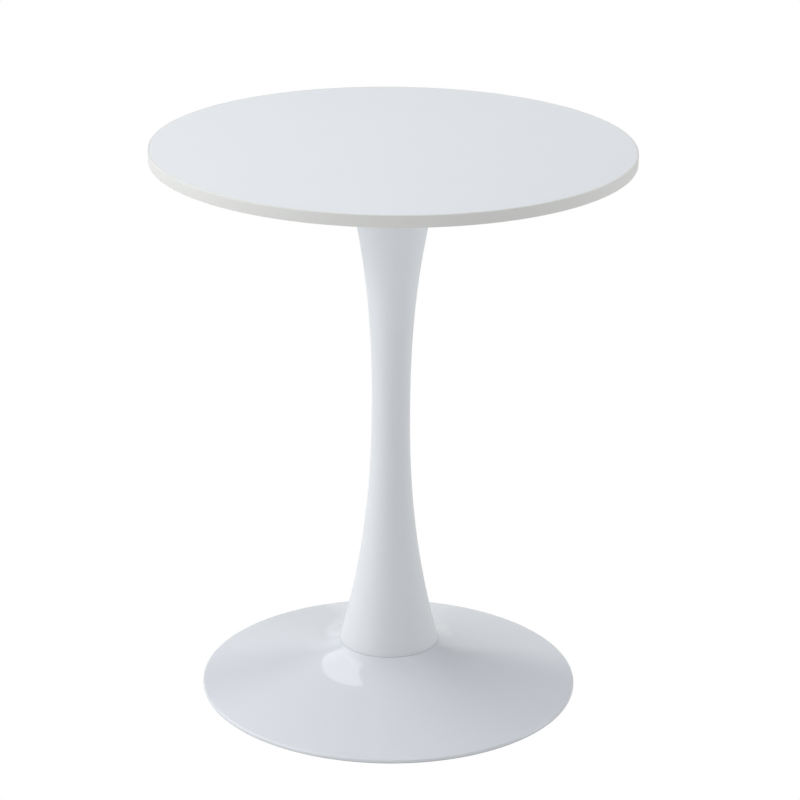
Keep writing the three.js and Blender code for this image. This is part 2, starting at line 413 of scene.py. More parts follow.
@dataclass
class EffectShelf:
    """Builds each shared effect once and places it in a material."""

    built: dict[Effect, bpy.types.NodeTree] = field(default_factory=dict)

    def tree(self, effect: Effect) -> bpy.types.NodeTree:
        """The group of an effect, built at its first use.

        Args:
            effect: the effect.

        Returns:
            Its group.
        """
        if effect not in self.built:
            self.built[effect] = getattr(self, effect.value)()
        return self.built[effect]

    def place(self, wiring: Wiring, effect: Effect,
              inputs: dict[str | int, Value]) -> bpy.types.Node:
        """Puts an effect in a material with its own values.

        Args:
            wiring: the material's wiring.
            effect: the effect.
            inputs: socket or value for each input of its group.

        Returns:
            The group's node.
        """
        node = wiring.tree.nodes.new("ShaderNodeGroup")
        node.node_tree = self.tree(effect)
        wiring.feed(node, inputs)
        return node

    @staticmethod
    def slow_drift() -> bpy.types.NodeTree:
        """Colour and roughness that wander slowly over a surface.

        The colour goes from Colour to Other with a soft noise of the given size, and the
        roughness is Roughness plus Spread times the noise less a half.

        Returns:
            The group.
        """
        tree, wiring, given, out = group(
            "slow_drift",
            {"Place": "Vector", "Size": "Float", "Colour": "Color", "Other": "Color",
             "Roughness": "Float", "Spread": "Float"},
            {"Colour": "Color", "Roughness": "Float"},
        )
        scale = wiring.sum("DIVIDE", 1.0, given["Size"])
        broad = wiring.noise(given["Place"], scale, 3.0, 0.55)
        fine = wiring.noise(given["Place"], wiring.sum("MULTIPLY", scale, 9.0), 2.0)
        share = wiring.sum("MULTIPLY_ADD", fine, 0.35, wiring.sum("MULTIPLY", broad, 0.65))
        mixed = wiring.node("ShaderNodeMix", data_type="RGBA")
        wiring.tree.links.new(share, mixed.inputs["Factor"])
        wiring.tree.links.new(given["Colour"], mixed.inputs[6])
        wiring.tree.links.new(given["Other"], mixed.inputs[7])
        swing = wiring.sum("SUBTRACT", share, 0.5)
        rough = wiring.sum("MULTIPLY_ADD", swing, given["Spread"], given["Roughness"])
        wiring.tree.links.new(mixed.outputs[2], out["Colour"])
        wiring.tree.links.new(rough, out["Roughness"])
        return tree

    @staticmethod
    def paint_peel() -> bpy.types.NodeTree:
        """Height of sprayed paint.

        It is round cells that run into each other, a finer ripple over them, and Wave times
        a slow swell ten cells long under them.

        Returns:
            The group.
        """
        tree, wiring, given, out = group(
            "paint_peel", {"Place": "Vector", "Cell": "Float", "Wave": "Float"},
            {"Height": "Float"},
        )
        scale = wiring.sum("DIVIDE", 1.0, given["Cell"])
        cells = wiring.node(
            "ShaderNodeTexVoronoi",
            {"Vector": given["Place"], "Scale": scale, "Smoothness": 1.0},
            feature="SMOOTH_F1",
        ).outputs[0]
        ripple = wiring.noise(given["Place"], wiring.sum("MULTIPLY", scale, 2.3), 1.0)
        skin = wiring.sum("MULTIPLY_ADD", ripple, 0.4, wiring.sum("MULTIPLY", cells, -0.6))
        swell = wiring.noise(given["Place"], wiring.sum("MULTIPLY", scale, 0.1), 1.0)
        height = wiring.sum("MULTIPLY_ADD", swell, given["Wave"], skin)
        wiring.tree.links.new(height, out["Height"])
        return tree

    @staticmethod
    def fine_grain() -> bpy.types.NodeTree:
        """Height of a matt pressed grain: pits of one size with a sharper noise over them.

        Returns:
            The group.
        """
        tree, wiring, given, out = group(
            "fine_grain", {"Place": "Vector", "Cell": "Float"}, {"Height": "Float"}
        )
        scale = wiring.sum("DIVIDE", 1.0, given["Cell"])
        pits = wiring.noise(given["Place"], scale, 1.0, 0.6)
        grit = wiring.noise(given["Place"], wiring.sum("MULTIPLY", scale, 3.7), 3.0, 0.7)
        height = wiring.sum("MULTIPLY_ADD", grit, 0.45, wiring.sum("MULTIPLY", pits, 0.55))
        wiring.tree.links.new(height, out["Height"])
        return tree

    @staticmethod
    def turning_marks() -> bpy.types.NodeTree:
        """Height of a cutting tool's marks: noise over the radius and the height alone.

        Returns:
            The group.
        """
        tree, wiring, given, out = group(
            "turning_marks", {"Place": "Vector", "Pitch": "Float"}, {"Height": "Float"}
        )
        split = wiring.node("ShaderNodeSeparateXYZ", {0: given["Place"]}).outputs
        square = wiring.sum("MULTIPLY_ADD", split[0], split[0],
                            wiring.sum("MULTIPLY", split[1], split[1]))
        radius = wiring.sum("SQRT", square, 0.0)
        place = wiring.node("ShaderNodeCombineXYZ", {0: radius, 1: split[2]}).outputs[0]
        scale = wiring.sum("DIVIDE", 1.0, given["Pitch"])
        marks = wiring.noise(place, scale, 3.0, 0.6)
        wiring.tree.links.new(marks, out["Height"])
        return tree


SHELF = EffectShelf()


# ------------------------------------------------------------------ finishes


class Slot(str, Enum):
    """Material slots of the record."""

    TOP = "top_laminate"
    BAND = "edge_band"
    CORE = "board_core"
    SATIN = "satin_white_paint"
    GLOSS = "gloss_white_paint"
    ZINC = "zinc_steel"
    BLACK = "black_screw"
    CLEAR = "clear_gasket"
    RUBBER = "grey_rubber"


@dataclass(frozen=True)
class Finish:
    """One finish: two near colours, gloss, and the relief of its surface.

    The drift goes between the two colours over drift_size and swings the roughness by
    spread; cell is the size and relief the height of the effect's marks.
    """

    slot: Slot
    colour: Colour
    other: Colour
    roughness: float
    spread: float
    drift_size: float
    effect: Effect
    cell: float
    relief: float
    metallic: float = 0.0
    ior: float = 1.5
    subsurface: float = 0.0
    wave: float = 0.0

    def material(self) -> bpy.types.Material:
        """The material of this finish, made at its first use.

        Returns:
            A material on object coordinates: drift sets colour and roughness, and the
            relief feeds the normal as a bump of `relief` metres.
        """
        name = self.slot.value + "_finish"
        if name in bpy.data.materials:
            return bpy.data.materials[name]
        material = bpy.data.materials.new(name)
        material.use_nodes = True
        material.diffuse_color = (*self.colour, 1.0)
        material.node_tree.nodes.clear()
        wiring = Wiring(material.node_tree)
        place = wiring.node("ShaderNodeTexCoord").outputs["Object"]
        drift = SHELF.place(wiring, Effect.DRIFT, {
            "Place": place, "Size": self.drift_size, "Colour": (*self.colour, 1.0),
            "Other": (*self.other, 1.0), "Roughness": self.roughness, "Spread": self.spread,
        })
        size = "Pitch" if self.effect is Effect.TURNING else "Cell"
        values = {"Place": place, size: self.cell}
        if self.effect is Effect.PEEL:
            values["Wave"] = self.wave
        relief = SHELF.place(wiring, self.effect, values)
        bump = wiring.node("ShaderNodeBump", {
            "Strength": 1.0, "Distance": self.relief, "Height": relief.outputs["Height"],
        })
        surface = wiring.node("ShaderNodeBsdfPrincipled", {
            "Base Color": drift.outputs["Colour"], "Roughness": drift.outputs["Roughness"],
            "Normal": bump.outputs[0], "Metallic": self.metallic, "IOR": self.ior,
            "Subsurface Weight": self.subsurface,
        })
        if self.subsurface:
            surface.inputs["Subsurface Radius"].default_value = (0.6 * MM,) * 3
        wiring.node("ShaderNodeOutputMaterial", {"Surface": surface.outputs[0]})
        return material


LAMINATE = Finish(Slot.TOP, (0.785, 0.815, 0.85), (0.80, 0.83, 0.865), 0.46, 0.08, 0.12,
                  Effect.GRAIN, 0.35 * MM, 0.004 * MM)
BAND = Finish(Slot.BAND, (0.725, 0.735, 0.72), (0.755, 0.765, 0.75), 0.42, 0.10, 0.06,
              Effect.GRAIN, 0.5 * MM, 0.006 * MM)
CORE = Finish(Slot.CORE, (0.36, 0.23, 0.12), (0.52, 0.37, 0.22), 0.88, 0.15, 0.004,
              Effect.GRAIN, 0.6 * MM, 0.12 * MM)
SATIN = Finish(Slot.SATIN, (0.76, 0.785, 0.815), (0.785, 0.81, 0.84), 0.40, 0.06, 0.09,
               Effect.PEEL, 1.1 * MM, 0.006 * MM)
GLOSS = Finish(Slot.GLOSS, (0.72, 0.748, 0.793), (0.735, 0.762, 0.807), 0.035, 0.02, 0.15,
               Effect.PEEL, 2.6 * MM, 0.002 * MM, wave=10.0)
ZINC = Finish(Slot.ZINC, (0.60, 0.61, 0.62), (0.70, 0.70, 0.67), 0.34, 0.22, 0.008,
              Effect.TURNING, 0.35 * MM, 0.012 * MM, metallic=1.0)
BLACK = Finish(Slot.BLACK, (0.022, 0.022, 0.024), (0.055, 0.053, 0.05), 0.42, 0.25, 0.003,
               Effect.GRAIN, 0.25 * MM, 0.01 * MM, metallic=0.75)
CLEAR = Finish(Slot.CLEAR, (0.66, 0.68, 0.70), (0.72, 0.74, 0.76), 0.38, 0.1, 0.01,
               Effect.GRAIN, 0.4 * MM, 0.01 * MM, subsurface=0.3)
RUBBER = Finish(Slot.RUBBER, (0.56, 0.56, 0.57), (0.63, 0.63, 0.64), 0.72, 0.15, 0.012,
                Effect.GRAIN, 0.5 * MM, 0.03 * MM)


def dress(piece: bpy.types.Object, finish: Finish, *nodes: str) -> None:
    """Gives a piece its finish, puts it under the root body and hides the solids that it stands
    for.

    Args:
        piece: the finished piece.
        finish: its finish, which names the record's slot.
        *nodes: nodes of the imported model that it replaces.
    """
    piece.data.materials.clear()
    piece.data.materials.append(finish.material())
    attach(piece, BODY)
    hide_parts(*nodes)
    log.info("%s: %d faces, %s", piece.name, len(piece.data.polygons), finish.slot.value)


# ------------------------------------------------------------------ drilled boards


@dataclass(frozen=True)
class DrilledDisc:
    """A round board with a circle of holes, as one sector per hole.

    Each face of a sector is a sheet of straight lines from the hole's rim to the sector's
    edge. The edge runs from the axis along one side, round the rim and back to the axis, so
    neighbouring sectors share the points of their sides.
    """

    radius: float
    low: float
    high: float
    hole: float
    circle: float
    count: int
    edge: float
    hole_edge: float
    side_points: int = 60
    rim_points: int = 48

    def shell(self) -> Shell:
        """The whole board.

        Returns:
            A shell with both faces, the rim and a wall in each hole.
        """
        half = math.pi / self.count
        rim = np.linspace(-half, half, self.rim_points + 1)
        out = np.linspace(0, 1, self.side_points, endpoint=False)
        face = self.radius - self.edge
        reach = np.concatenate([out, np.ones(rim.size), out[:0:-1]]) * face
        angle = np.concatenate([np.full(out.size, -half), rim, np.full(out.size - 1, half)])
        border = polar(reach, angle, np.zeros(reach.size))[:, :2]
        spoke = unit(border - [self.circle, 0])
        faces = [self.face(border, spoke, height) for height in (self.low, self.high)]
        walls = [self.hole_wall(spoke), self.rim_wall(rim)]
        shell = Shell()
        for place in range(self.count):
            turn = (place + 0.5) * 2 * math.pi / self.count
            for grid in faces:
                shell.patch(spun(grid, turn), around=True)
            shell.patch(spun(walls[0], turn), around=True)
            shell.patch(spun(walls[1], turn))
        return shell

    def face(self, border: np.ndarray, spoke: np.ndarray, height: float) -> np.ndarray:
        """One face of a sector, as straight lines from the hole's rim to the edge.

        Args:
            border: the sector's edge.
            spoke: direction from the hole's middle to each point of the edge.
            height: the face's height.

        Returns:
            The grid of points.
        """
        share = np.array([0, 0.04, 0.3, 1])[:, None, None]
        start = np.array([self.circle, 0]) + spoke * (self.hole + self.hole_edge)
        flat = start * (1 - share) + border * share
        level = np.full(flat.shape[:2] + (1,), height)
        return np.concatenate([flat, level], axis=2)

    def hole_wall(self, spoke: np.ndarray) -> np.ndarray:
        """The wall of the hole, with both its edges rounded.

        Args:
            spoke: direction from the hole's middle to each point of the sector's edge.

        Returns:
            The grid of points.
        """
        inward, up = quarter(self.hole_edge, 3)
        reach = self.hole + np.concatenate([inward, inward[::-1]])
        height = np.concatenate([self.low + up, self.high - up[::-1]])
        flat = np.array([self.circle, 0]) + spoke * reach[:, None, None]
        return np.concatenate([flat, np.repeat(height[:, None, None], len(spoke), 1)], axis=2)

    def rim_wall(self, rim: np.ndarray) -> np.ndarray:
        """The outer wall of one sector, with both its edges rounded.

        Args:
            rim: directions of the points along the rim.

        Returns:
            The grid of points.
        """
        inward, up = quarter(self.edge)
        reach = self.radius - np.concatenate([inward, inward[::-1]])
        height = np.concatenate([self.low + up, self.high - up[::-1]])
        return polar(reach[:, None], rim[None, :], height[:, None])


def spun(grid: np.ndarray, turn: float) -> np.ndarray:
    """Turns points about +Z by an angle.

    Args:
        grid: points with x, y, z as the last axis.
        turn: the angle.

    Returns:
        Points of the same shape.
    """
    cos, sin = math.cos(turn), math.sin(turn)
    return grid @ np.array([[cos, sin, 0], [-sin, cos, 0], [0, 0, 1]])


# ------------------------------------------------------------------ the board


@dataclass
class Tabletop:
    """Core, two laminates and the band round the edge."""

    band_round: float = 1.2 * MM
    seam: float = 0.06 * MM
    laminate_edge: float = 0.12 * MM
    pocket_radius: float = 5.3 * MM
    segments: int = 320

    def build(self, screws: "ScrewCircle") -> None:
        """Builds and dresses the board.

        Args:
            screws: the circle that the pockets in the backing lie on.
        """
        band = Extent.of("tabletop_edge_band")
        face = Extent.of("tabletop_face_laminate")
        backing = Extent.of("tabletop_backing_laminate")
        inner = face.radius + 0.3 * MM
        corners = np.array([
            [inner, band.low], [band.radius, band.low],
            [band.radius, band.high], [inner, band.high],
        ])
        radii = np.array([self.laminate_edge, self.band_round,
                          self.band_round, self.laminate_edge])
        profile = rounded(corners, radii, 8)
        dress(Shell().turned(profile, self.segments).mesh("edge_band_strip"), BAND,
              "tabletop_edge_band")
        sheet = disc_profile(inner - self.seam, face.low, face.high, self.laminate_edge)
        dress(Shell().turned(sheet, self.segments).mesh("face_sheet"), LAMINATE,
              "tabletop_face_laminate")
        drilled = DrilledDisc(inner - self.seam, backing.low, backing.high, self.pocket_radius,
                              screws.circle, screws.count, self.laminate_edge, 0.1 * MM,
                              side_points=110, rim_points=54)
        dress(drilled.shell().mesh("backing_sheet"), LAMINATE, "tabletop_backing_laminate")
        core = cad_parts["tabletop_core"]
        core.data.materials.clear()
        core.data.materials.append(CORE.material())


# ------------------------------------------------------------------ plate, screws and inserts


@dataclass
class ScrewCircle:
    """The screws that hold the plate, with the inserts that they go into."""

    count: int = 6
    pitch: float = 1.0 * MM
    thread_depth: float = 0.55 * MM
    head_radius: float = 5.25 * MM
    head_height: float = 3.3 * MM
    shank: float = 3.0 * MM
    socket: float = 4.0 * MM
    socket_depth: float = 2.0 * MM
    around: int = 48
    circle: float = 0.0

    def measure(self) -> None:
        """Reads the circle's radius from where the first screw is."""
        low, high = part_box("plate_screw_1")
        centre = (low + high) / 2
        self.circle = math.hypot(centre.x, centre.y)

    def dome(self, radius: np.ndarray, seat: float) -> np.ndarray:
        """Height of the head's surface at a radius: half an ellipsoid under the seat."""
        share = np.clip(1 - (radius / self.head_radius) ** 2, 0, None)
        return seat - self.head_height * np.sqrt(share)

    def screw(self, seat: float, tip: float, turn: float) -> np.ndarray:
        """One screw on the axis, head down.

        The rows go from the middle of the socket's floor out to its side, up the side, over
        the dome as the radius goes from the hexagon to a circle, under the head and up the
        thread to the tip.

        Args:
            seat: height of the face that the head bears on.
            tip: height of the screw's end.
            turn: direction of the socket's first corner.

        Returns:
            The grid of points, closed at both ends.
        """
        angle = np.arange(self.around) * (2 * math.pi / self.around)
        socket = hexagon(angle - turn, self.socket)
        floor = seat - self.head_height + self.socket_depth
        ones = np.ones(self.around)
        rows = [(0 * ones, floor * ones), (socket, floor * ones)]
        lip = 0.15 * MM
        rows.append((socket, self.dome(socket + lip, seat) + lip))
        share = np.linspace(0, 1, 12) ** 0.8
        head = socket + lip + (self.head_radius - socket - lip) * share[:, None]
        over = list(zip(head, self.dome(head, seat)))
        bearing = self.head_radius - 0.1 * MM
        under = [(bearing * ones, seat * ones), (self.shank * ones, seat * ones)]
        height = np.linspace(seat, tip, int((tip - seat) / self.pitch * 6))[1:-1]
        depth = ridge(height[:, None] / self.pitch - angle / (2 * math.pi)) * self.thread_depth
        taper = np.clip((tip - height[:, None]) / (1.2 * MM), 0.55, 1)
        thread = (self.shank - depth) * taper
        body = [(row, level * ones) for row, level in zip(thread, height)]
        end = [(0.5 * self.shank * ones, tip * ones), (0 * ones, tip * ones)]
        every = rows + over + under + body + end
        radius = np.stack([row for row, _ in every])
        level = np.stack([row for _, row in every])
        return polar(radius, angle[None, :], level)

    def insert(self, low: float, high: float, outer: float, inner: float) -> np.ndarray:
        """One insert on the axis: a plain bore and a coarse thread outside.

        Args:
            low: height of its open end.
            high: height of its far end.
            outer: radius over the outer crests.
            inner: radius of the bore.

        Returns:
            The grid of points, closed into a ring.
        """
        angle = np.arange(self.around) * (2 * math.pi / self.around)
        height = np.linspace(low, high, 40)[:, None]
        coarse = ridge(height / (2.2 * MM) - angle / (2 * math.pi)) * 0.6 * MM
        flange = np.where(height - low < 1.2 * MM, 0, 1)
        outside = outer - coarse * flange
        inside = np.full(outside.shape, inner)[::-1]
        radius = np.vstack([inside[-1:], outside, inside])
        level = np.vstack([height[:1], height, height[::-1]])
        return polar(radius, angle[None, :], level)

    def build(self) -> None:
        """Builds and dresses every screw and insert."""
        for number in range(1, self.count + 1):
            low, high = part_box(f"plate_screw_{number}")
            place = np.array([(low.x + high.x) / 2, (low.y + high.y) / 2, 0])
            seat = low.z + self.head_height
            turn = math.radians(17 + 23 * number)
            grid = self.screw(seat, high.z, turn) + place
            piece = Shell().patch(grid, around=True).mesh(f"button_screw_{number}")
            dress(piece, BLACK, f"plate_screw_{number}")
            low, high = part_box(f"threaded_insert_{number}")
            outer = (high.x - low.x) / 2
            grid = self.insert(low.z, high.z, outer, self.shank + 0.3 * MM) + place
            piece = Shell().patch(grid, around=True).mesh(f"board_insert_{number}")
            dress(piece, ZINC, f"threaded_insert_{number}")


@dataclass
class HexBlock:
    """A hexagonal nut or block on the axis, with its corners turned down at both ends."""

    flats: float
    bore: float
    low: float
    high: float
    chamfer: float = 0.45
    around: int = 96

    def shell(self) -> Shell:
        """The block's surface.

        The outside is the smaller of the hexagon and a cone that starts at the flats and
        opens by two for each one in height; the bore has a countersink at each end.

        Returns:
            The shell.
        """
        angle = np.arange(self.around) * (2 * math.pi / self.around)
        corner = self.flats / math.sqrt(3)
        rise = (corner - self.flats / 2) * self.chamfer
        step = np.concatenate([np.linspace(0, 1, 7) * rise, [rise * 1.6]])
        height = np.concatenate([self.low + step, self.high - step[::-1]])[:, None]
        near = np.minimum(height - self.low, self.high - height)
        cone = self.flats / 2 * 0.985 + near / self.chamfer
        side = np.minimum(hexagon(angle, self.flats)[None, :], cone)
        sink = self.flats * 0.025
        inner = np.array([self.bore + sink, self.bore, self.bore, self.bore + sink])
        inside = np.repeat(inner[:, None], self.around, axis=1)
        level = np.array([self.high, self.high - sink, self.low + sink, self.low])[:, None]
        radius = np.vstack([side, inside, side[:1]])
        every = np.vstack([height, level, height[:1]])
        return Shell().patch(polar(radius, angle[None, :], every), around=True)


@dataclass
class PlateSet:
    """The plate under the board, its collar and the nut that the rod goes into."""

    screw_hole: float = 3.3 * MM
    edge: float = 0.5 * MM
    collar_wall: float = 2.0 * MM
    rod_hole: float = 6.3 * MM
    flats: float = 19 * MM

    def build(self, screws: ScrewCircle, column: "Column") -> None:
        """Builds and dresses the three pieces.

        Args:
            screws: the circle of screws through the plate.
            column: the column, whose inside the collar follows.
        """
        plate = Extent.of("mounting_plate")
        drilled = DrilledDisc(plate.radius, plate.low, plate.high, self.screw_hole,
                              screws.circle, screws.count, self.edge, 0.25 * MM)
        dress(drilled.shell().mesh("top_plate"), SATIN, "mounting_plate")
        collar = Extent.of("locating_collar")
        height = np.linspace(collar.low, collar.high, 9)
        outside = column.inner(height) - 0.5 * MM
        inside = outside - self.collar_wall
        profile = np.vstack([
            np.stack([outside, height], axis=1), np.stack([inside, height], axis=1)[::-1],
        ])
        dress(Shell().turned(profile, 144).mesh("plate_collar"), SATIN, "locating_collar")
        nut = Extent.of("coupling_nut")
        block = HexBlock(self.flats, self.rod_hole, nut.low, nut.high)
        dress(block.shell().mesh("rod_coupler"), ZINC, "coupling_nut")


# ------------------------------------------------------------------ the column


@dataclass
class Column:
    """An hourglass tube: the radius grows from the waist as a power of the distance."""

    waist: float = 24.3 * MM
    wall: float = 1.4 * MM
    flare: float = 2.25
    mouth: float = 0.0
    low: float = 0.0
    high: float = 0.0
    steps: int = 150
    segments: int = 192

    def measure(self) -> None:
        """Reads the mouth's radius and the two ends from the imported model."""
        extent = Extent.of("column")
        self.mouth, self.low, self.high = extent.radius, extent.low, extent.high

    def share(self, height: np.ndarray) -> np.ndarray:
        """Distance from mid-height, from 0 to 1 at either end."""
        middle = (self.low + self.high) / 2
        return np.abs(height - middle) / (self.high - middle)

    def outer(self, height: np.ndarray) -> np.ndarray:
        """Outer radius: waist plus the rest times the share to the power of the flare."""
        return self.waist + (self.mouth - self.waist) * self.share(height) ** self.flare

    def inner(self, height: np.ndarray) -> np.ndarray:
        """Inner radius, with the wall measured square to the surface.

        Args:
            height: heights above the floor.

        Returns:
            One radius per height: the outer one less the wall times the root of one plus
            the slope squared.
        """
        half = (self.high - self.low) / 2
        growth = (self.mouth - self.waist) * self.flare
        slope = growth * self.share(height) ** (self.flare - 1) / half
        return self.outer(height) - self.wall * np.hypot(1, slope)

    def build(self) -> None:
        """Builds and dresses the tube, with its four end edges eased."""
        height = np.linspace(self.low, self.high, self.steps + 1)
        outside = np.stack([self.outer(height), height], axis=1)
        inside = np.stack([self.inner(height), height], axis=1)[::-1]
        radii = np.zeros(2 * len(height))
        ends = [0, len(height) - 1, len(height), 2 * len(height) - 1]
        radii[ends] = [0.15 * MM, 0.5 * MM, 0.3 * MM, 0.3 * MM]
        profile = rounded(np.vstack([outside, inside]), radii, 4)
        dress(Shell().turned(profile, self.segments).mesh("column_tube"), SATIN, "column")


# ------------------------------------------------------------------ the base


@dataclass
class Base:
    """A cone pressed from one sheet, with its web, spigot and shoulder, and two gaskets."""

    sheet: float = 2.0 * MM
    rim_height: float = 4.6 * MM
    rim_bottom: float = 1.2 * MM
    bend: float = 0.4 * MM
    gasket_width: float = 4.6 * MM
    cone_slope: float = math.radians(12.9)
    flare_fade: float = 22 * MM
    shoulder_lip: float = 0.6 * MM
    shoulder_edge: float = 0.2 * MM
    seam_recess: float = 0.15 * MM
    spigot_gap: float = 0.5 * MM
    rod_hole: float = 6.6 * MM
    steps: int = 120
    segments: int = 256

    def surface(self, radius: np.ndarray, start: float, high: float, rim: float) -> np.ndarray:
        """Height of the cone's top.

        It is a cone of one slope plus a flare that dies away from the shoulder as
        exp(-distance / flare_fade); together they drop from the shoulder to the rim.

        Args:
            radius: distances from the axis.
            start: the shoulder's radius.
            high: the shoulder's height.
            rim: the rim's radius.

        Returns:
            One height per radius.
        """
        slope = math.tan(self.cone_slope)
        reach = rim - start
        drop = high - self.rim_height - reach * slope
        out = radius - start
        share = (1 - np.exp(-out / self.flare_fade)) / (1 - math.exp(-reach / self.flare_fade))
        return high - out * slope - drop * share

    def build(self, column: Column) -> None:
        """Builds and dresses the cone and its gaskets.

        Args:
            column: the column that stands on the shoulder.
        """
        extent = Extent.of("base_cone")
        seam = Extent.of("seam_gasket")
        start = column.mouth + self.shoulder_lip
        foot = float(column.inner(np.array(column.low))) - self.spigot_gap
        top = float(column.inner(np.array(extent.high))) - self.spigot_gap
        radius = start + (extent.radius - start) * np.linspace(0, 1, self.steps + 1) ** 1.5
        height = self.surface(radius, start, seam.low, extent.radius)
        cone = np.stack([radius, height], axis=1)
        outside = np.vstack([
            [[self.rod_hole, extent.high], [top, extent.high], [foot, seam.low]],
            cone, [[extent.radius, self.rim_bottom]],
        ])
        inside = offset(outside, self.sheet)
        outer_bend = self.bend + self.sheet
        out_radii = np.zeros(len(outside))
        out_radii[[0, 1, 3, -2, -1]] = [0.3 * MM, outer_bend, self.shoulder_edge,
                                        outer_bend, 0.25 * MM]
        in_radii = np.zeros(len(inside))
        in_radii[[0, 1, -2, -1]] = [0.3 * MM, self.bend, self.bend, 0.25 * MM]
        corners = np.vstack([inside, outside[::-1]])
        radii = np.concatenate([in_radii, out_radii[::-1]])
        profile = rounded(corners, radii, 6)
        dress(Shell().turned(profile, self.segments).mesh("cone_pressing"), GLOSS, "base_cone")
        seal = column.mouth - self.seam_recess
        lip = ring_profile(foot + 0.3 * MM, seal, seam.low, seam.high, 0.2 * MM)
        dress(Shell().turned(lip, 192).mesh("seam_ring"), CLEAR, "seam_gasket")
        self.rim_ring()

    def rim_ring(self) -> None:
        """Builds the soft ring under the rim, with a step that the sheet sits on."""
        extent = Extent.of("rim_gasket")
        inner = extent.radius - self.gasket_width
        step = extent.radius + 0.4 * MM - self.sheet - 0.3 * MM
        corners = np.array([
            [inner, extent.low], [extent.radius, extent.low], [extent.radius, self.rim_bottom],
            [step, self.rim_bottom], [step, extent.high], [inner, extent.high],
        ])
        radii = np.array([0.4, 0.45, 0.3, 0, 0.3, 0.4]) * MM
        ring = Shell().turned(rounded(corners, radii, 4), self.segments)
        dress(ring.mesh("rim_ring"), RUBBER, "rim_gasket")


# ------------------------------------------------------------------ the tie rod set


@dataclass
class TieRodSet:
    """The rod and what clamps the base at its lower end."""

    rod_radius: float = 6.0 * MM
    pitch: float = 1.75 * MM
    thread_depth: float = 0.95 * MM
    lower_thread: float = 55 * MM
    upper_thread: float = 45 * MM
    hole: float = 6.6 * MM
    flats: float = 19 * MM
    slit: float = 1.2 * MM
    around: int = 48

    def rod(self) -> Shell:
        """The rod, threaded at both ends and plain between.

        The radius is the rod's less the thread's depth times ridge(height / pitch - turn),
        and it tapers over the last two millimetres at each end.

        Returns:
            The shell.
        """
        extent = Extent.of("tie_rod")
        angle = np.arange(self.around) * (2 * math.pi / self.around)
        fine = self.pitch / 8
        low_end, high_end = extent.low + self.lower_thread, extent.high - self.upper_thread
        height = np.concatenate([
            np.arange(extent.low, low_end, fine), np.linspace(low_end, high_end, 24),
            np.arange(high_end + fine, extent.high, fine), [extent.high],
        ])[:, None]
        near = np.minimum(height - extent.low, extent.high - height)
        threaded = np.clip(np.maximum(low_end - height, height - high_end) / self.pitch, 0, 1)
        depth = ridge(height / self.pitch - angle / (2 * math.pi)) * threaded
        radius = self.rod_radius - self.thread_depth * depth
        radius = np.minimum(radius, self.rod_radius - 1.3 * MM + near)
        zero = np.zeros((1, self.around))
        radius = np.vstack([zero, radius, zero])
        height = np.vstack([height[:1], height, height[-1:]])
        return Shell().patch(polar(radius, angle[None, :], height), around=True)

    def spring(self) -> Shell:
        """The split spring washer: a rounded section carried round all but the slit.

        Returns:
            The shell, with both ends of the slit closed.
        """
        extent = Extent.of("lock_washer")
        section = ring_profile(6.3 * MM, extent.radius, extent.low, extent.high, 0.3 * MM)
        gap = math.asin(self.slit / 2 / extent.radius)
        angle = np.linspace(gap, 2 * math.pi - gap, 97)
        loop = np.vstack([section, section[:1]])
        body = polar(loop[:, :1], angle[None, :], loop[:, 1:])
        shell = Shell().patch(body)
        for end in (body[:, 0], body[:, -1]):
            middle = np.broadcast_to(end[:-1].mean(axis=0), end.shape)
            shell.patch(np.stack([middle, end]))
        return shell

    def build(self) -> None:
        """Builds and dresses the rod, clamp plate, washers and nut."""
        dress(self.rod().mesh("threaded_rod"), ZINC, "tie_rod")
        plate = Extent.of("clamp_plate")
        profile = ring_profile(self.hole, plate.radius, plate.low, plate.high, 0.6 * MM)
        dress(Shell().turned(profile, 144).mesh("clamp_disc"), ZINC, "clamp_plate")
        washer = Extent.of("flat_washer")
        profile = ring_profile(self.hole, washer.radius, washer.low, washer.high, 0.35 * MM)
        dress(Shell().turned(profile, 96).mesh("plain_washer"), ZINC, "flat_washer")
        dress(self.spring().mesh("spring_washer"), ZINC, "lock_washer")
        nut = Extent.of("hex_nut")
        block = HexBlock(self.flats, self.rod_radius + 0.3 * MM, nut.low, nut.high)
        dress(block.shell().mesh("rod_nut"), ZINC, "hex_nut")


# ------------------------------------------------------------------ the studio


@dataclass(frozen=True)
class SoftBox:
    """A rectangular soft light."""

    name: str
    place: tuple[float, float, float]
    aim: tuple[float, float, float]
    size: tuple[float, float]
    power: float

    def hang(self) -> None:
        """Hangs the light, out of the camera's sight, facing the point that it aims at."""
        light = bpy.data.lights.new(self.name, "AREA")
        light.shape = "RECTANGLE"
        light.size, light.size_y = self.size
        light.energy = self.power
        lamp = bpy.data.objects.new(self.name, light)
        lamp.location = self.place
        towards = Vector(self.aim) - Vector(self.place)
        lamp.rotation_euler = towards.to_track_quat("-Z", "Y").to_euler()
        lamp.visible_camera = False
        bpy.context.scene.collection.objects.link(lamp)


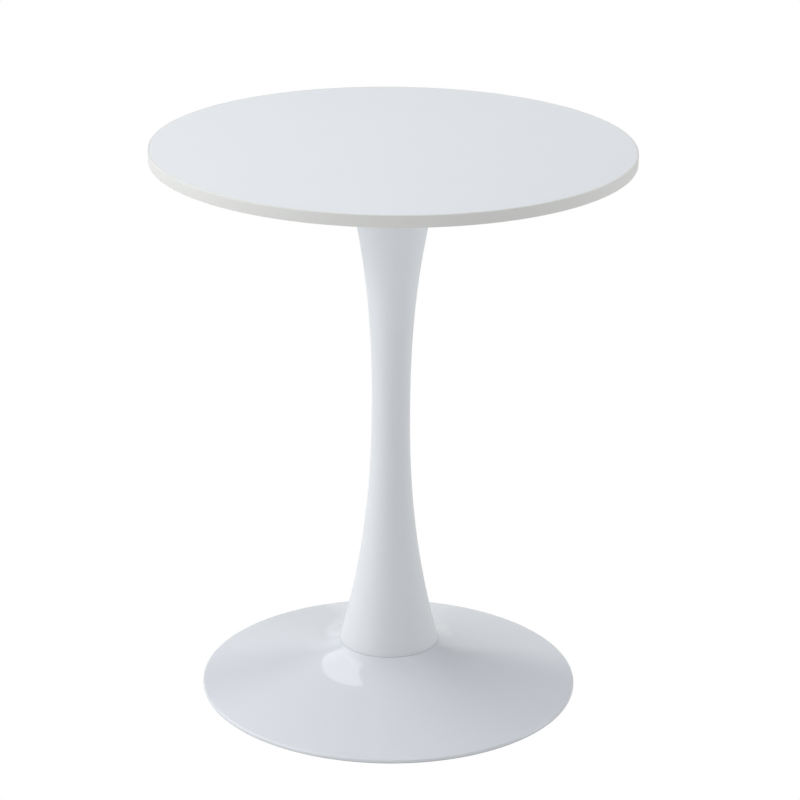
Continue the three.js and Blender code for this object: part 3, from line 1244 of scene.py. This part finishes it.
@dataclass
class Studio:
    """White floor, graded surround, soft lights and the camera."""

    floor_half: float = 6.0
    floor_glow: float = 0.3
    floor_albedo: float = 0.45
    surround_left: tuple[float, ...] = (0.571, 0.612, 0.166, 0.553, 0.512, 1.6)
    surround_right: tuple[float, ...] = (0.661, 0.692, 0.071, 0.142, 0.485, 1.6)
    boxes: tuple[SoftBox, ...] = (
        SoftBox("low_key", (-5.8, 1.12, 2.4), (0.0, 0.0, 0.4), (3.2, 3.2), 67.4),
        SoftBox("high_key", (-4.2, 0.9, 4.4), (0.0, 0.0, 0.4), (2.8, 2.8), 23.7),
        SoftBox("front_fill", (-4.8, -3.2, 2.8), (0.0, 0.0, 0.4), (3.2, 2.8), 91.7),
        SoftBox("right_fill", (5.8, 0.8, 2.4), (0.0, 0.0, 0.4), (3.2, 3.2), 85.0),
        SoftBox("back_long", (-3.25, 3.25, 5.4), (0.0, 0.0, 0.4), (3.5, 5.4), 82.1),
        SoftBox("back_overhead", (-2.66, 2.66, 7.06), (0.0, 0.0, 0.4), (4.0, 4.0), 18.6),
    )
    camera_place: tuple[float, float, float] = (0.0, -3.425, 1.644)
    pitch: float = 20.13
    yaw: float = 0.19
    roll: float = 0.59
    focal: float = 129.87

    def lay_floor(self) -> None:
        """Lays a wide white floor that glows a little and is clear from below."""
        half = self.floor_half
        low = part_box("rim_gasket")[0].z - 0.2 * MM
        corners = np.array([
            [-half, -half, low], [half, -half, low], [half, half, low], [-half, half, low],
        ])
        mesh = bpy.data.meshes.new("floor")
        mesh.from_pydata(corners, [], [(0, 1, 2, 3)])
        floor = bpy.data.objects.new("floor", mesh)
        bpy.context.scene.collection.objects.link(floor)
        material = bpy.data.materials.new("floor_white")
        material.use_nodes = True
        material.node_tree.nodes.clear()
        wiring = Wiring(material.node_tree)
        place = wiring.node("ShaderNodeTexCoord").outputs["Object"]
        speck = wiring.noise(place, 400.0, 2.0)
        tone = wiring.sum("MULTIPLY_ADD", speck, 0.02, self.floor_albedo - 0.01)
        matt = wiring.node("ShaderNodeBsdfDiffuse", {"Color": tone}).outputs[0]
        glow = wiring.node("ShaderNodeEmission", {"Strength": self.floor_glow}).outputs[0]
        lit = wiring.node("ShaderNodeAddShader", {0: matt, 1: glow}).outputs[0]
        white = wiring.node("ShaderNodeEmission", {"Strength": 1.0}).outputs[0]
        seen = wiring.node("ShaderNodeLightPath").outputs["Is Camera Ray"]
        top = wiring.node("ShaderNodeMixShader", {0: seen, 1: lit, 2: white}).outputs[0]
        clear = wiring.node("ShaderNodeBsdfTransparent").outputs[0]
        below = wiring.node("ShaderNodeNewGeometry").outputs["Backfacing"]
        both = wiring.node("ShaderNodeMixShader", {0: below, 1: top, 2: clear}).outputs[0]
        wiring.node("ShaderNodeOutputMaterial", {"Surface": both})
        mesh.materials.append(material)

    @staticmethod
    def graded(wiring: Wiring, high: Socket, levels: tuple[float, ...]) -> Socket:
        """A wall's brightness by height, through evenly spaced levels.

        Args:
            wiring: the world's wiring.
            high: sine of the height angle.
            levels: brightness from the horizon to straight up.

        Returns:
            The brightness as a colour socket.
        """
        ramp = wiring.node("ShaderNodeValToRGB", {0: high})
        ramp.color_ramp.interpolation = "EASE"
        places = np.linspace(0, 1, len(levels))
        for place in places[1:-1]:
            ramp.color_ramp.elements.new(float(place))
        for stop, level in zip(ramp.color_ramp.elements, levels):
            stop.color = (level, level, level, 1.0)
        return ramp.outputs[0]

    def hang_surround(self) -> None:
        """Sets the surround.

        It is white to the eye. For light and gloss it is a left and a right wall, each
        graded by height, that meet softly in the middle.
        """
        world = bpy.data.worlds.new("surround")
        world.use_nodes = True
        world.node_tree.nodes.clear()
        wiring = Wiring(world.node_tree)
        way = wiring.node("ShaderNodeTexCoord").outputs["Generated"]
        parts = wiring.node("ShaderNodeSeparateXYZ", {0: way}).outputs
        side = wiring.node("ShaderNodeMapRange", {"Value": parts[0], 1: -0.07, 2: 0.07})
        side.interpolation_type = "SMOOTHSTEP"
        walls = wiring.node("ShaderNodeMix", {0: side.outputs[0]})
        walls.data_type = "RGBA"
        left = self.graded(wiring, parts[2], self.surround_left)
        right = self.graded(wiring, parts[2], self.surround_right)
        wiring.tree.links.new(left, walls.inputs[6])
        wiring.tree.links.new(right, walls.inputs[7])
        graded = wiring.node("ShaderNodeBackground", {"Color": walls.outputs[2]}).outputs[0]
        white = wiring.node("ShaderNodeBackground", {"Color": (1.0, 1.0, 1.0, 1.0)}).outputs[0]
        seen = wiring.node("ShaderNodeLightPath").outputs["Is Camera Ray"]
        both = wiring.node("ShaderNodeMixShader", {0: seen, 1: graded, 2: white}).outputs[0]
        wiring.node("ShaderNodeOutputWorld", {"Surface": both})
        bpy.context.scene.world = world

    def set_camera(self) -> None:
        """Sets the camera, which looks along +Y and down."""
        lens = bpy.data.cameras.new("camera")
        lens.lens = self.focal
        lens.sensor_width = 36.0
        camera = bpy.data.objects.new("camera", lens)
        camera.location = self.camera_place
        turn = Euler((0, 0, math.radians(-self.yaw))).to_matrix()
        tilt = Euler((math.radians(90 - self.pitch), 0, 0)).to_matrix()
        roll = Euler((0, 0, math.radians(self.roll))).to_matrix()
        camera.rotation_euler = (turn @ tilt @ roll).to_euler()
        bpy.context.scene.collection.objects.link(camera)
        bpy.context.scene.camera = camera

    def build(self) -> None:
        """Builds the whole studio."""
        self.lay_floor()
        self.hang_surround()
        for box in self.boxes:
            box.hang()
        self.set_camera()
        view = bpy.context.scene.view_settings
        view.view_transform = "Standard"
        view.look = "None"


# ------------------------------------------------------------------ the table


def main() -> None:
    """Builds the studio and then the table from the board down."""
    logging.basicConfig(level=logging.INFO, format="%(name)s %(message)s")
    Studio().build()
    column = Column()
    column.measure()
    screws = ScrewCircle()
    screws.measure()
    Tabletop().build(screws)
    PlateSet().build(screws, column)
    screws.build()
    column.build()
    Base().build(column)
    TieRodSet().build()


if __name__ == "__main__":
    main()
